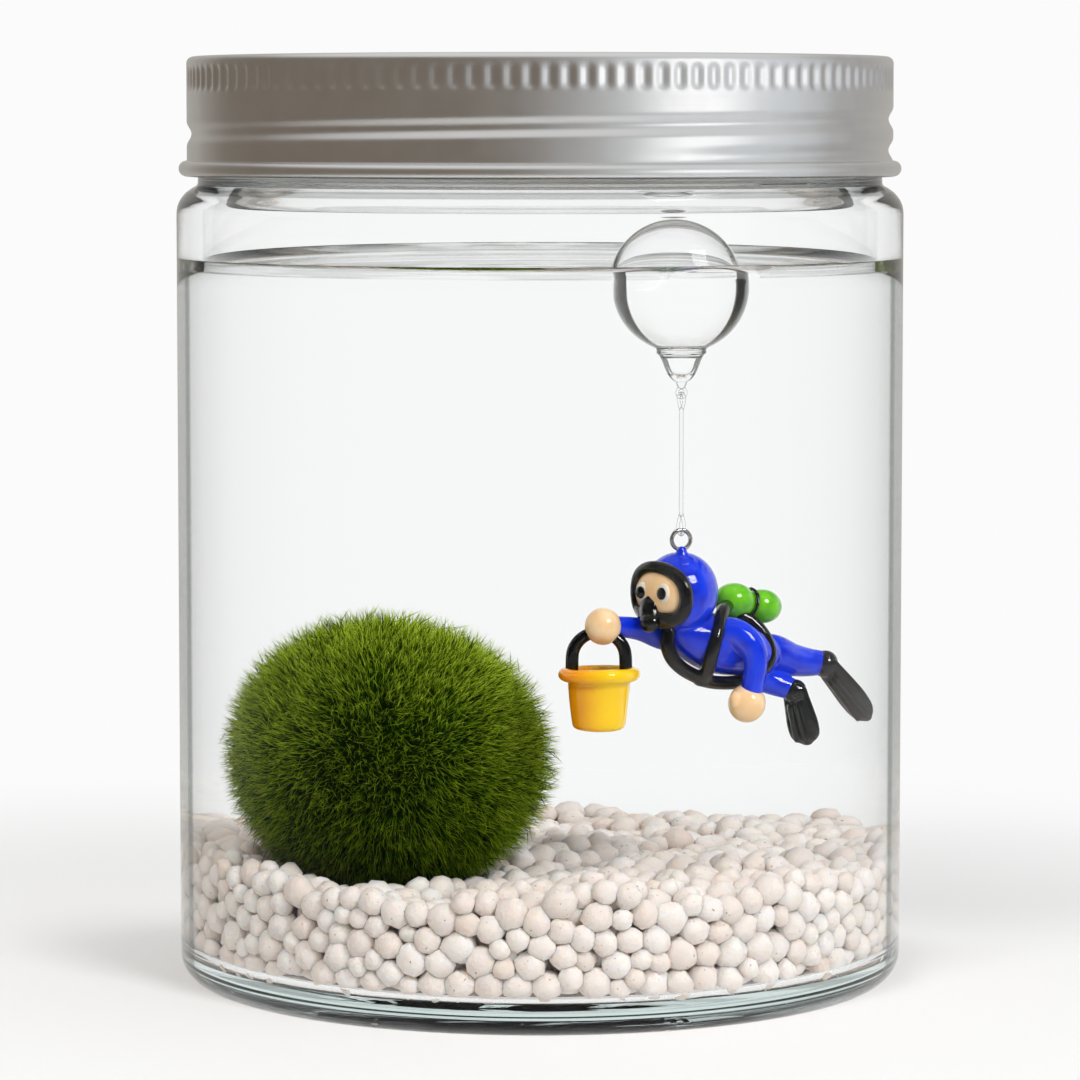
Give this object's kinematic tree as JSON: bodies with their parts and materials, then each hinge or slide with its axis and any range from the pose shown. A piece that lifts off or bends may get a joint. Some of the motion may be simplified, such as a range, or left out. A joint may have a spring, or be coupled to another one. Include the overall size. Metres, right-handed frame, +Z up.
{
  "type": "marimo moss ball in a screw-lid jar",
  "caption": "Green velvety moss ball resting on pale pellets in a clear water-filled glass jar with a fluted aluminium screw lid and a small glass diver hung from a float.",
  "frame": {"origin": "middle of the jar's base, on the surface it stands on", "axes": "+Z up along the jar's axis; -Y is the front, the side the diver faces"},
  "size_m": [0.085, 0.085, 0.1084],
  "materials": {
    "jar_glass": "clear polished glass, faintly cool at the edges",
    "lid_aluminium": "satin spun aluminium",
    "liner_white": "smooth matt foam",
    "water": "clear still water",
    "pale_ceramic": "matt off-white pellets",
    "moss": "velvety green filaments",
    "clear_glass": "clear lampworked glass",
    "steel": "bright steel wire",
    "blue_glass": "glossy opaque cobalt glass",
    "skin_glass": "glossy opaque peach glass",
    "white_glass": "glossy opaque white glass",
    "black_glass": "glossy opaque black glass",
    "green_glass": "glossy opaque lime glass",
    "yellow_glass": "glossy opaque yellow glass, orange to one side"
  },
  "bodies": {
    "jar": {"jar": "jar_glass", "water": "water", "gravel_bed": "pale_ceramic", "moss_ball": "moss", "float_bubble": "clear_glass", "link_rod": "clear_glass", "hang_ring": "steel", "diver_suit": "blue_glass", "diver_face": "skin_glass", "diver_mask": "black_glass", "diver_regulator": "black_glass", "eye_white_left": "white_glass", "eye_white_right": "white_glass", "pupil_left": "black_glass", "pupil_right": "black_glass", "hand_left": "skin_glass", "hand_right": "skin_glass", "tank_front": "green_glass", "tank_rear": "green_glass", "tank_band": "black_glass", "harness": "black_glass", "fin_left": "black_glass", "fin_right": "black_glass", "bucket": "yellow_glass", "bucket_handle": "black_glass"},
    "liner": {"lid_liner": "liner_white"},
    "lid": {"lid": "lid_aluminium"}
  },
  "joints": [
    {"name": "lid_rise", "type": "slide", "parent": "jar", "child": "liner", "axis": [0, 0, 1], "range_m": [0, 0.0041]},
    {"name": "lid_turn", "type": "hinge", "parent": "liner", "child": "lid", "pos_m": [0, 0, 0.1014], "axis": [0, 0, 1], "range_deg": [0, 400]}
  ],
  "couplings": [
    {"joint": "lid_rise", "follows": "lid_turn", "m_per_rad": 0.00057296}
  ]
}
